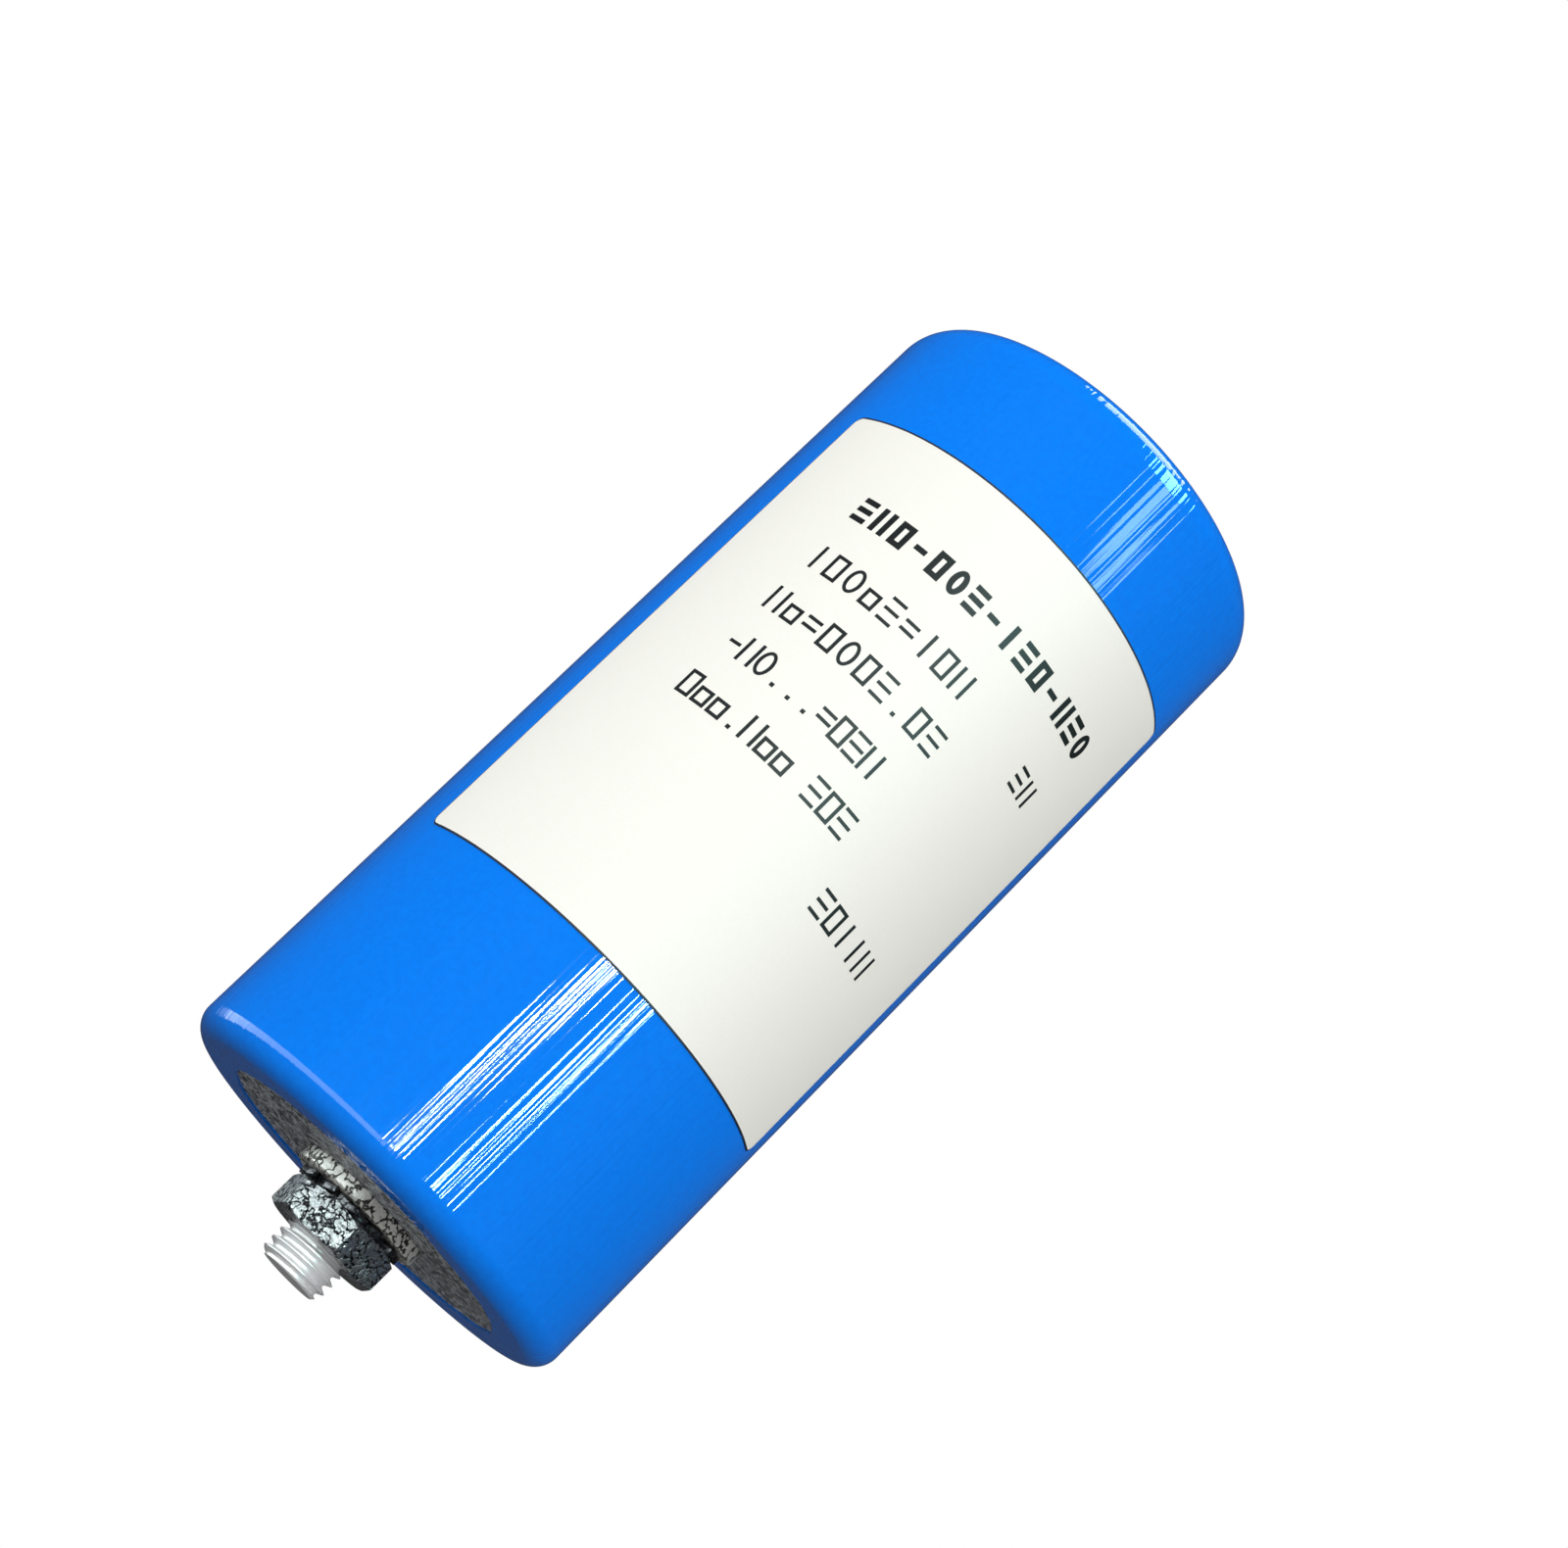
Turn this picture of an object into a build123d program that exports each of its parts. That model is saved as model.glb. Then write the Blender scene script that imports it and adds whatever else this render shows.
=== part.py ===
from build123d import *
from math import cos, degrees, radians, sin
import os

os.makedirs("parts", exist_ok=True)

# A DC link film capacitor in a sleeved aluminium can, in millimetres. It is held by its mounting
# stud: z = 0 is the base's seat, which is the sleeve's lip round the bare floor of the can. +Z runs
# along the can to the terminals, and the label faces -Y. Two metallised film windings are potted
# one above the other inside the can.

# ---- Case ------------------------------------------------------------------------------------
case_diameter = 76.0  # over the sleeve
case_height = 169.0  # seat to the sleeved rim
base_edge_radius = 4.0
rim_edge_radius = 6.0
sleeve_wall = 0.4
base_lip_width = 6.0  # the sleeve shrunk in over the flat of the base
rim_lip_width = 1.0  # the can's rim rolled in past its rounded edge
sleeve_rim_setback = 0.5  # the sleeve stops this far short of the rolled rim

can_wall = 0.9
can_floor = 2.0
floor_corner_radius = 1.6

# ---- Mounting stud and what is on it ---------------------------------------------------------
stud_diameter = 12.0  # over the thread
thread_pitch = 1.75
stud_reach = 16.0  # past the seat
stud_chamfer = 1.0
thread_grip_overrun = 0.3  # the gripped stretch ends this far past the nut

flat_washer_diameter = 24.0
flat_washer_thickness = 2.5
flat_washer_clearance = 0.5

lock_washer_diameter = 20.5
lock_washer_thickness = 1.0
lock_washer_band = 2.0
lock_washer_clearance = 0.25
tooth_count = 12
tooth_width = 2.2
tooth_twist = 14.0  # degrees, about each tooth's own radius
tooth_bite_clearance = 0.01

nut_across_flats = 19.0
nut_height = 6.0
nut_bore_clearance = 0.05
nut_mouth_clearance = 0.1
nut_corner_chamfer = 0.9
nut_turn = 42.0  # degrees, of one corner from +X

# ---- Label -----------------------------------------------------------------------------------
label_width = 90.0  # along the curve of the sleeve
label_thickness = 0.15
label_from_base = 45.5
label_from_rim = 26.4
label_corner_radius = 1.8
label_turn = 4.5  # degrees, of the label's middle from -Y toward +X

# ---- Lid and terminals -----------------------------------------------------------------------
lid_thickness = 8.5
lid_clearance = 0.1
deck_depth = 2.0  # the deck lies this far below the rim
boss_radius = 10.0
boss_to_deck_edge = 4.9
rib_thickness = 2.5
rib_length = 38.0
rib_rise = 4.0  # above the rim

terminal_rise = 5.0  # above the rim
terminal_head_radius = 8.0
terminal_head_thickness = 3.5
terminal_shank_radius = 6.5
terminal_foot_radius = 9.0
terminal_foot_thickness = 2.5
terminal_thread_radius = 3.4  # minor radius of the M8 thread
terminal_thread_depth = 12.0
terminal_edge_chamfer = 0.5

# ---- Inside ----------------------------------------------------------------------------------
base_insulator_thickness = 1.5
base_insulator_clearance = 0.3
wall_insulator_thickness = 0.5
wall_insulator_clearance = 0.2
wall_insulator_below_resin = 2.0
air_under_lid = 6.5
resin_over_stack = 7.7

strip_width = 10.0
strip_thickness = 0.5
strip_clearance = 0.3  # to the windings' sides
strip_to_insulator = 0.8
strip_grip = 22.0  # how far a finger reaches in over or under an end
spray_thickness = 0.6
spray_setback = 0.4
core_inner_radius = 5.0
core_wall = 2.0
middle_plate_thickness = 1.5
middle_plate_setback = 1.4

# ---- Worked out from the sizes above ---------------------------------------------------------
case_radius = case_diameter / 2
can_radius = case_radius - sleeve_wall
can_top = case_height - sleeve_wall
cavity_radius = can_radius - can_wall
cavity_bottom = sleeve_wall + can_floor
cavity_top = can_top - can_wall
shoulder_height = case_height - rim_edge_radius
mouth_radius = case_radius - rim_edge_radius - rim_lip_width

stud_radius = stud_diameter / 2
grip_radius = stud_radius - 0.3248 * thread_pitch  # half the pitch diameter of a metric thread
washer_bottom = sleeve_wall - flat_washer_thickness
tooth_rise = (lock_washer_thickness * cos(radians(tooth_twist)) + tooth_width * sin(radians(tooth_twist))) / 2
lock_washer_middle = washer_bottom - tooth_bite_clearance - tooth_rise
nut_top = lock_washer_middle - tooth_rise - tooth_bite_clearance
nut_bottom = nut_top - nut_height

deck_top = case_height - deck_depth
deck_radius = mouth_radius - lid_clearance
lid_bottom = deck_top - lid_thickness
terminal_offset = deck_radius - boss_to_deck_edge - boss_radius
terminal_top = case_height + terminal_rise
boss_top = terminal_top - terminal_head_thickness
foot_bottom = lid_bottom - terminal_foot_thickness

wall_insulator_outer = cavity_radius - wall_insulator_clearance
wall_insulator_inner = wall_insulator_outer - wall_insulator_thickness
strip_outer = wall_insulator_inner - strip_to_insulator
strip_inner = strip_outer - strip_thickness
winding_radius = strip_inner - strip_clearance
core_outer_radius = core_inner_radius + core_wall

resin_top = lid_bottom - air_under_lid
base_insulator_top = cavity_bottom + base_insulator_thickness
stack_bottom = base_insulator_top + strip_thickness
stack_top = resin_top - resin_over_stack
section_height = (stack_top - stack_bottom - middle_plate_thickness) / 2
middle_plate_bottom = stack_bottom + section_height
upper_section_bottom = middle_plate_bottom + middle_plate_thickness


def band(inner, outer, bottom, top):
    """Add one rectangle of a half section: a ring once the section is revolved."""
    with Locations(((inner + outer) / 2, (bottom + top) / 2)):
        Rectangle(outer - inner, top - bottom)


def barrel(radius, bottom, top, bottom_round, top_round):
    """Make a solid cylinder on Z with rounded ends."""
    with BuildPart() as body:
        with BuildSketch(Plane.XY.offset(bottom)):
            Circle(radius)
        extrude(amount=top - bottom)
        fillet(body.edges().group_by(Axis.Z)[0], radius=bottom_round)
        fillet(body.edges().group_by(Axis.Z)[-1], radius=top_round)
    return body.part


def save(piece, label):
    """Name one finished piece and write it to its own file."""
    piece.part.label = label
    export_step(piece.part, f"parts/{label}.step")


# ---- Sleeve, can and stud --------------------------------------------------------------------
sleeved_case = barrel(case_radius, 0, case_height, base_edge_radius, rim_edge_radius)
bare_can = barrel(
    can_radius, sleeve_wall, can_top, base_edge_radius - sleeve_wall, rim_edge_radius - sleeve_wall
)
cavity = barrel(
    cavity_radius,
    cavity_bottom,
    cavity_top,
    floor_corner_radius,
    rim_edge_radius - sleeve_wall - can_wall,
)

with BuildPart() as sleeve:
    add(sleeved_case)
    add(bare_can, mode=Mode.SUBTRACT)
    with BuildSketch():
        Circle(case_radius - base_edge_radius - base_lip_width)
    extrude(amount=sleeve_wall, mode=Mode.SUBTRACT)
    with BuildSketch(Plane.XY.offset(can_top)):
        Circle(mouth_radius + sleeve_rim_setback)
    extrude(amount=sleeve_wall, mode=Mode.SUBTRACT)
save(sleeve, "sleeve")

# The can is drawn with its floor and stud in one piece, and its rim rolled in over the lid. Where
# the nut grips the stud, both threads are drawn as cylinders at their pitch diameter.
with BuildPart() as can:
    add(bare_can)
    add(cavity, mode=Mode.SUBTRACT)
    with BuildSketch(Plane.XY.offset(cavity_top)):
        Circle(mouth_radius)
    extrude(amount=can_wall, mode=Mode.SUBTRACT)
    with BuildSketch(Plane.XZ):
        band(0, stud_radius, nut_top, sleeve_wall)
        band(0, grip_radius, nut_bottom - thread_grip_overrun, nut_top)
        band(0, stud_radius, -stud_reach, nut_bottom - thread_grip_overrun)
    revolve(axis=Axis.Z)
    chamfer(can.edges().group_by(Axis.Z)[0], length=stud_chamfer)
save(can, "can")

# ---- Washers and nut -------------------------------------------------------------------------
with BuildPart() as flat_washer:
    with BuildSketch(Plane.XZ):
        band(stud_radius + flat_washer_clearance, flat_washer_diameter / 2, washer_bottom, sleeve_wall)
    revolve(axis=Axis.Z)
save(flat_washer, "flat_washer")

# Each tooth is twisted about its own radius, so that its edges bite the washer and the nut.
lock_washer_bore = stud_radius + lock_washer_clearance
lock_washer_root = lock_washer_bore + lock_washer_band
tooth_start = lock_washer_root - lock_washer_band / 4
with BuildPart() as lock_washer:
    with BuildSketch(Plane.XZ):
        with Locations(((lock_washer_bore + lock_washer_root) / 2, lock_washer_middle)):
            Rectangle(lock_washer_band, lock_washer_thickness)
    revolve(axis=Axis.Z)
    with Locations((0, 0, lock_washer_middle)):
        with PolarLocations(tooth_start, tooth_count):
            with Locations(Location((0, 0, 0), (tooth_twist, 0, 0))):
                Box(
                    lock_washer_diameter / 2 - tooth_start,
                    tooth_width,
                    lock_washer_thickness,
                    align=(Align.MIN, Align.CENTER, Align.CENTER),
                )
save(lock_washer, "lock_washer")

nut_corner_radius = nut_across_flats / 2 / cos(radians(30))
nut_bore_radius = grip_radius + nut_bore_clearance
nut_mouth_radius = stud_radius + nut_mouth_clearance
with BuildPart() as thin_nut:
    with BuildSketch(Plane.XY.offset(nut_bottom)):
        RegularPolygon(nut_corner_radius, side_count=6, rotation=nut_turn)
    extrude(amount=nut_height)
    with BuildSketch(Plane.XZ) as nut_turned_section:
        band(0, nut_corner_radius, nut_bottom, nut_top)
        corners = nut_turned_section.vertices().group_by(Axis.X)[-1]
        chamfer(corners, length=nut_corner_chamfer, length2=nut_corner_chamfer / 2)
    revolve(axis=Axis.Z, mode=Mode.INTERSECT)
    with BuildSketch(Plane.XY.offset(nut_bottom)):
        Circle(nut_bore_radius)
    extrude(amount=nut_height, mode=Mode.SUBTRACT)
    bore_edges = thin_nut.edges().filter_by(GeomType.CIRCLE).group_by(SortBy.RADIUS)[0]
    chamfer(bore_edges, length=nut_mouth_radius - nut_bore_radius)
save(thin_nut, "thin_nut")

# ---- Label -----------------------------------------------------------------------------------
label_sweep = degrees(label_width / case_radius)
label_plane = Plane.XZ.rotated((0, 0, label_turn - 90 - label_sweep / 2))
with BuildPart() as label:
    with BuildSketch(label_plane):
        band(case_radius, case_radius + label_thickness, label_from_base, case_height - label_from_rim)
    revolve(axis=Axis.Z, revolution_arc=label_sweep)
    label_corners = label.edges().filter_by(lambda edge: edge.length < 1.01 * label_thickness)
    fillet(label_corners, radius=label_corner_radius)
save(label, "label")

# ---- Lid, gasket and terminals ---------------------------------------------------------------
with BuildPart() as terminal_plate:
    with BuildSketch(Plane.XZ):
        band(0, cavity_radius - lid_clearance, lid_bottom, shoulder_height)
        band(0, deck_radius, lid_bottom, deck_top)
    revolve(axis=Axis.Z)
    with BuildSketch(Plane.XY.offset(deck_top)):
        with Locations((terminal_offset, 0), (-terminal_offset, 0)):
            Circle(boss_radius)
    extrude(amount=boss_top - deck_top)
    with BuildSketch(Plane.XY.offset(deck_top)):
        Rectangle(rib_thickness, rib_length)
    extrude(amount=case_height + rib_rise - deck_top)
    with BuildSketch(Plane.XY.offset(lid_bottom)):
        with Locations((terminal_offset, 0), (-terminal_offset, 0)):
            Circle(terminal_shank_radius)
    extrude(amount=boss_top - lid_bottom, mode=Mode.SUBTRACT)
save(terminal_plate, "terminal_plate")

# The gasket fills the rounded corner between the lid's ledge and the rolled rim.
with BuildPart() as lid_gasket:
    add(cavity)
    split(bisect_by=Plane.XY.offset(shoulder_height), keep=Keep.TOP)
    with BuildSketch(Plane.XY.offset(shoulder_height)):
        Circle(mouth_radius)
    extrude(amount=cavity_top - shoulder_height, mode=Mode.SUBTRACT)
save(lid_gasket, "lid_gasket")

for name, centre in (("positive_terminal", terminal_offset), ("negative_terminal", -terminal_offset)):
    with BuildPart() as terminal:
        with BuildSketch(Plane.XZ.move(Location((centre, 0, 0)))):
            band(0, terminal_foot_radius, foot_bottom, lid_bottom)
            band(0, terminal_shank_radius, lid_bottom, boss_top)
            band(0, terminal_head_radius, boss_top, terminal_top)
        revolve(axis=Axis((centre, 0, 0), (0, 0, 1)))
        chamfer(terminal.edges().group_by(Axis.Z)[-1], length=terminal_edge_chamfer)
        with BuildSketch(Plane.XY.offset(terminal_top)):
            with Locations((centre, 0)):
                Circle(terminal_thread_radius)
        extrude(amount=-terminal_thread_depth, mode=Mode.SUBTRACT)
    save(terminal, name)

# ---- Insulators ------------------------------------------------------------------------------
with BuildPart() as base_insulator:
    with BuildSketch(Plane.XY.offset(cavity_bottom)):
        Circle(cavity_radius - floor_corner_radius - base_insulator_clearance)
    extrude(amount=base_insulator_thickness)
save(base_insulator, "base_insulator")

with BuildPart() as wall_insulator:
    with BuildSketch(Plane.XZ):
        band(
            wall_insulator_inner,
            wall_insulator_outer,
            cavity_bottom + floor_corner_radius,
            resin_top - wall_insulator_below_resin,
        )
    revolve(axis=Axis.Z)
save(wall_insulator, "wall_insulator")

# ---- Windings: film on a core, sprayed with zinc at both ends --------------------------------
potted = [base_insulator, wall_insulator]
for name, bottom in (("lower", stack_bottom), ("upper", upper_section_bottom)):
    top = bottom + section_height
    with BuildPart() as core:
        with BuildSketch(Plane.XZ):
            band(core_inner_radius, core_outer_radius, bottom, top)
        revolve(axis=Axis.Z)
    save(core, f"{name}_core")
    with BuildPart() as winding:
        with BuildSketch(Plane.XZ):
            band(core_outer_radius, winding_radius, bottom + spray_thickness, top - spray_thickness)
        revolve(axis=Axis.Z)
    save(winding, f"{name}_winding")
    potted += [core, winding]
    for end, spray_bottom in (("bottom", bottom), ("top", top - spray_thickness)):
        with BuildPart() as spray:
            with BuildSketch(Plane.XZ):
                band(
                    core_outer_radius,
                    winding_radius - spray_setback,
                    spray_bottom,
                    spray_bottom + spray_thickness,
                )
            revolve(axis=Axis.Z)
        save(spray, f"{name}_{end}_spray")
        potted.append(spray)

# ---- Conductors ------------------------------------------------------------------------------
# The plate between the windings joins their inner ends, and its tab meets the negative strip.
with BuildPart() as middle_plate:
    with BuildSketch(Plane.XY.offset(middle_plate_bottom)):
        Circle(winding_radius - middle_plate_setback)
        Rectangle(strip_inner, strip_width, align=(Align.MAX, Align.CENTER))
        Circle(core_inner_radius, mode=Mode.SUBTRACT)
    extrude(amount=middle_plate_thickness)
save(middle_plate, "middle_plate")

# The positive strip runs up the +X side. Its fingers meet the stack's two outer ends and the
# foot of the positive terminal.
with BuildPart() as positive_strip:
    with BuildSketch(Plane.XZ):
        band(strip_inner, strip_outer, base_insulator_top, foot_bottom)
        band(strip_outer - strip_grip, strip_outer, base_insulator_top, stack_bottom)
        band(strip_outer - strip_grip, strip_outer, stack_top, stack_top + strip_thickness)
        band(terminal_offset - terminal_foot_radius, strip_outer, foot_bottom - strip_thickness, foot_bottom)
    extrude(amount=strip_width / 2, both=True)
save(positive_strip, "positive_strip")

# The negative strip runs up the -X side, from the middle plate's tab to the negative terminal.
with BuildPart() as negative_strip:
    with BuildSketch(Plane.XZ):
        band(-strip_outer, -strip_inner, middle_plate_bottom, foot_bottom)
        band(-strip_outer, terminal_foot_radius - terminal_offset, foot_bottom - strip_thickness, foot_bottom)
    extrude(amount=strip_width / 2, both=True)
save(negative_strip, "negative_strip")
potted += [middle_plate, positive_strip, negative_strip]

# ---- Potting resin: what is left of the cavity up to its own level ----------------------------
with BuildPart() as resin:
    add(cavity)
    split(bisect_by=Plane.XY.offset(resin_top), keep=Keep.BOTTOM)
    for piece in potted:
        add(piece.part, mode=Mode.SUBTRACT)
save(resin, "resin")
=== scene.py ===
import math

import bpy
from mathutils import Matrix, Vector


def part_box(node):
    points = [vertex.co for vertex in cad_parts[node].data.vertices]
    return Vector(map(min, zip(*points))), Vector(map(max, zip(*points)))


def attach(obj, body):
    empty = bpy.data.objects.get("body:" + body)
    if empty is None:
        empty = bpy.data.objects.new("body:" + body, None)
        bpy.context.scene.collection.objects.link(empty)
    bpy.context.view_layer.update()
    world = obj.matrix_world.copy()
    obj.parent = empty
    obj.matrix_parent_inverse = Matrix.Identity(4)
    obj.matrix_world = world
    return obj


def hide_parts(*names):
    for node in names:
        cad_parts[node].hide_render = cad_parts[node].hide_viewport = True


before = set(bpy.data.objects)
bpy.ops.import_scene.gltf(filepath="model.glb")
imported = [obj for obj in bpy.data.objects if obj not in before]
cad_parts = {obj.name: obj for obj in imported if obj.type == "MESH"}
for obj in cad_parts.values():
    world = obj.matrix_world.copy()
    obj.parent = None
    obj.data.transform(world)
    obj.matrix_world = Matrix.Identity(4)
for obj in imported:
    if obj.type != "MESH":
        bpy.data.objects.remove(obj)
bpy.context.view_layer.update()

# A film capacitor in a sleeved can: +Z runs from the mounting stud to the terminals and the label
# faces -Y. Sizes are in millimetres and turn into metres where a point is placed.
MM = 0.001


def box_mm(node):
    """Lowest and highest corner of a node of the frame, in millimetres."""
    low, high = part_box(node)
    return low / MM, high / MM


sleeve_high = box_mm("sleeve")[1]
can_low = box_mm("can")[0]
washer_low, washer_high = box_mm("flat_washer")
toothed_low, toothed_high = box_mm("lock_washer")
nut_low, nut_high = box_mm("thin_nut")
label_low, label_high = box_mm("label")
lid_low, lid_high = box_mm("terminal_plate")
post_low, post_high = box_mm("positive_terminal")

case_radius = sleeve_high.x
case_top = sleeve_high.z
sleeve_wall = 0.4
can_radius = case_radius - sleeve_wall
base_edge_radius = 4.0
rim_edge_radius = 6.0
base_lip_radius = 28.0
rim_lip_radius = 31.5
can_wall = 0.9
can_floor = 2.0
floor_corner_radius = 1.6
mouth_radius = 31.0

# Middles of the round edges at the base and at the rolled rim.
base_edge_middle = case_radius - base_edge_radius
rim_edge_middle = case_radius - rim_edge_radius
shoulder = case_top - rim_edge_radius

stud_radius = 6.0
stud_pitch = 1.75
stud_end = can_low.z
stud_chamfer = 1.0
grip_radius = 5.43
grip_overrun = 0.3
thread_depth_share = 0.6134

nut_across_flats = 19.0
nut_turn = 42.0
nut_bore_radius = 5.48
nut_mouth_radius = 6.1
nut_corner_chamfer = 0.9
nut_edge_rounding = 0.14

label_width = 90.0
label_lift = 0.12
label_radius = case_radius + label_lift
label_turn = 4.5
label_corner_radius = 1.8
label_thickness = 0.1
label_facet_width = 1.2
ink_height = 0.02

deck_depth = 2.0
deck_recess = 0.6
lid_clearance = 0.1
lid_ledge_height = shoulder
lid_rib_thickness = 2.5
lid_rib_length = 38.0
lid_rib_rounding = 0.6
boss_radius = 10.0
post_offset = (post_low.x + post_high.x) / 2
post_head_radius = 8.0
post_head_thickness = 3.5
post_shank_radius = 6.5
post_foot_radius = post_high.x - post_offset
post_foot_thickness = 2.5
post_thread_radius = 4.0
post_thread_pitch = 1.25
post_thread_depth = 12.0
boss_top = post_high.z - post_head_thickness


# ---- Modelling helpers -----------------------------------------------------------------------
def arc(centre_radius, centre_height, radius, start, end, steps=10):
    """Points of a round stretch of an outline, from one angle to another in degrees."""
    points = []
    for step in range(steps + 1):
        angle = math.radians(start + (end - start) * step / steps)
        out, up = radius * math.cos(angle), radius * math.sin(angle)
        points.append((centre_radius + out, centre_height + up))
    return points


def start_editing(piece):
    bpy.ops.object.select_all(action="DESELECT")
    piece.select_set(True)
    bpy.context.view_layer.objects.active = piece
    bpy.ops.object.mode_set(mode="EDIT")
    bpy.ops.mesh.select_all(action="SELECT")


def stop_editing():
    bpy.ops.object.mode_set(mode="OBJECT")


def close_up(piece):
    """Merge what meets and turn every face outwards."""
    start_editing(piece)
    bpy.ops.mesh.remove_doubles(threshold=0.002 * MM)
    bpy.ops.mesh.dissolve_degenerate(threshold=0.002 * MM)
    bpy.ops.mesh.normals_make_consistent(inside=False)
    stop_editing()


def traced(name, outline):
    """Draw a chain of edges through (radius, height) points in the XZ plane."""
    bpy.ops.object.select_all(action="DESELECT")
    bpy.ops.mesh.primitive_plane_add(size=MM)
    piece = bpy.context.object
    piece.name = name
    bpy.ops.object.mode_set(mode="EDIT")
    bpy.ops.mesh.merge(type="CENTER")
    bpy.ops.transform.translate(value=(outline[0][0] * MM, 0, outline[0][1] * MM))
    for here, there in zip(outline, outline[1:]):
        step = ((there[0] - here[0]) * MM, 0, (there[1] - here[1]) * MM)
        bpy.ops.mesh.extrude_region_move(TRANSFORM_OT_translate={"value": step})
    stop_editing()
    return piece


def turned(name, outline, steps=144):
    """Spin an outline about Z, as on a lathe. It is a closed loop, or runs from axis to axis."""
    piece = traced(name, outline)
    start_editing(piece)
    bpy.ops.mesh.spin(steps=steps, angle=math.tau, center=(0, 0, 0), axis=(0, 0, 1))
    stop_editing()
    close_up(piece)
    return piece


def apply_modifier(piece, kind, **settings):
    bpy.ops.object.select_all(action="DESELECT")
    piece.select_set(True)
    bpy.context.view_layer.objects.active = piece
    modifier = piece.modifiers.new(kind.lower(), kind)
    for key, value in settings.items():
        setattr(modifier, key, value)
    bpy.ops.object.modifier_apply(modifier=modifier.name)


def cut_with(piece, tool, operation):
    """Combine a piece with a tool that is then thrown away."""
    apply_modifier(piece, "BOOLEAN", operation=operation, object=tool, solver="EXACT")
    bpy.data.objects.remove(tool)
    close_up(piece)


def moved(piece, x=0.0, y=0.0, z=0.0):
    """Shift a piece's mesh, in millimetres, leaving its object at the origin."""
    piece.data.transform(Matrix.Translation(Vector((x, y, z)) * MM))
    return piece


def threaded_rod(name, major_radius, pitch, bottom, top):
    """A rod with a metric thread, cut square at both ends."""
    minor_radius = major_radius - thread_depth_share * pitch
    start = bottom - pitch
    groove = [
        (minor_radius, start),
        (minor_radius, start + pitch / 4),
        (major_radius, start + pitch * 9 / 16),
        (major_radius, start + pitch * 11 / 16),
        (minor_radius, start + pitch),
    ]
    rod = traced(name, groove)
    turns = math.ceil((top - bottom) / pitch) + 2
    apply_modifier(
        rod, "SCREW", axis="Z", screw_offset=pitch * MM, iterations=turns, steps=48, render_steps=48
    )
    close_up(rod)
    for height, upper in ((bottom, False), (top, True)):
        start_editing(rod)
        bpy.ops.mesh.bisect(
            plane_co=(0, 0, height * MM),
            plane_no=(0, 0, 1),
            use_fill=True,
            clear_inner=not upper,
            clear_outer=upper,
        )
        stop_editing()
    close_up(rod)
    return rod


def finish_piece(piece, finish, slot, *nodes, smooth=35):
    """Give a piece its finish and let it stand for its nodes of the frame."""
    bpy.ops.object.select_all(action="DESELECT")
    piece.select_set(True)
    bpy.context.view_layer.objects.active = piece
    bpy.ops.object.shade_smooth_by_angle(angle=math.radians(smooth))
    piece.data.materials.clear()
    piece.data.materials.append(finish)
    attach(piece, "root")
    if nodes:
        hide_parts(*nodes)


# ---- Material helpers ------------------------------------------------------------------------
class Wire:
    """A value that runs between the nodes of one finish."""

    def __init__(self, finish, socket):
        self.finish = finish
        self.socket = socket

    def __add__(self, other):
        return self.finish.sum("ADD", self, other)

    def __radd__(self, other):
        return self.finish.sum("ADD", other, self)

    def __sub__(self, other):
        return self.finish.sum("SUBTRACT", self, other)

    def __rsub__(self, other):
        return self.finish.sum("SUBTRACT", other, self)

    def __mul__(self, other):
        return self.finish.sum("MULTIPLY", self, other)

    def __rmul__(self, other):
        return self.finish.sum("MULTIPLY", other, self)

    def __gt__(self, other):
        return self.finish.sum("GREATER_THAN", self, other)

    def __abs__(self):
        return self.finish.sum("ABSOLUTE", self, 0.0)

    def bigger(self, other):
        return self.finish.sum("MAXIMUM", self, other)


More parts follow.
